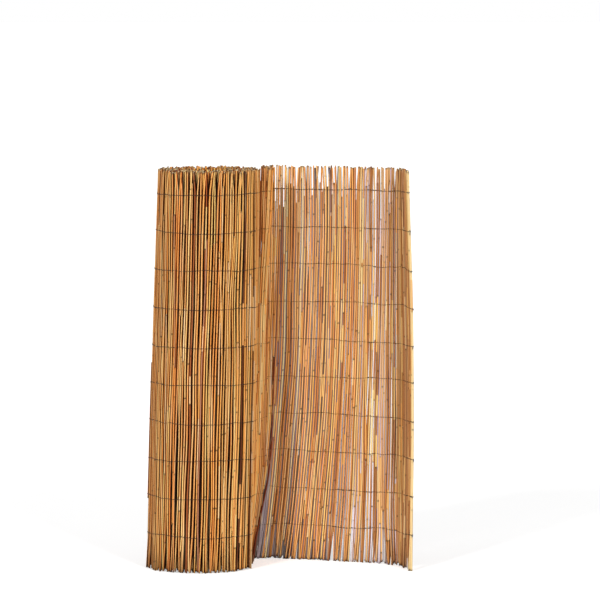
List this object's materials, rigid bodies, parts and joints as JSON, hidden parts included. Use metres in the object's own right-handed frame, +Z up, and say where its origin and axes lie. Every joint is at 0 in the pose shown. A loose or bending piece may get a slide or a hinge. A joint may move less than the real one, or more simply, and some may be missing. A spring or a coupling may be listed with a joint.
{
  "type": "reed screening roll",
  "caption": "Roll of peeled reed screening standing on end, with wire-bound reeds and its last stretch unrolled to a curled free edge.",
  "frame": {"origin": "on the floor, below the middle of the whole object's box", "axes": "+Z up along the reeds; +X from the roll towards the unrolled free edge; the picture looks along +Y"},
  "size_m": [0.6454, 0.2981, 1],
  "materials": {
    "reed": "peeled dry reed stems, golden tan with pale and orange-brown stems and dark joints",
    "wire": "thin annealed binding wire, dull dark brown"
  },
  "bodies": {
    "root": {"rolled_turns": "reed", "outer_turn_reeds": "reed", "bend_reeds": "reed", "flap_reeds": "reed", "binding_wire_01": "wire", "binding_wire_02": "wire", "binding_wire_03": "wire", "binding_wire_04": "wire", "binding_wire_05": "wire", "binding_wire_06": "wire", "binding_wire_07": "wire", "binding_wire_08": "wire", "binding_wire_09": "wire", "binding_wire_10": "wire"}
  },
  "joints": []
}
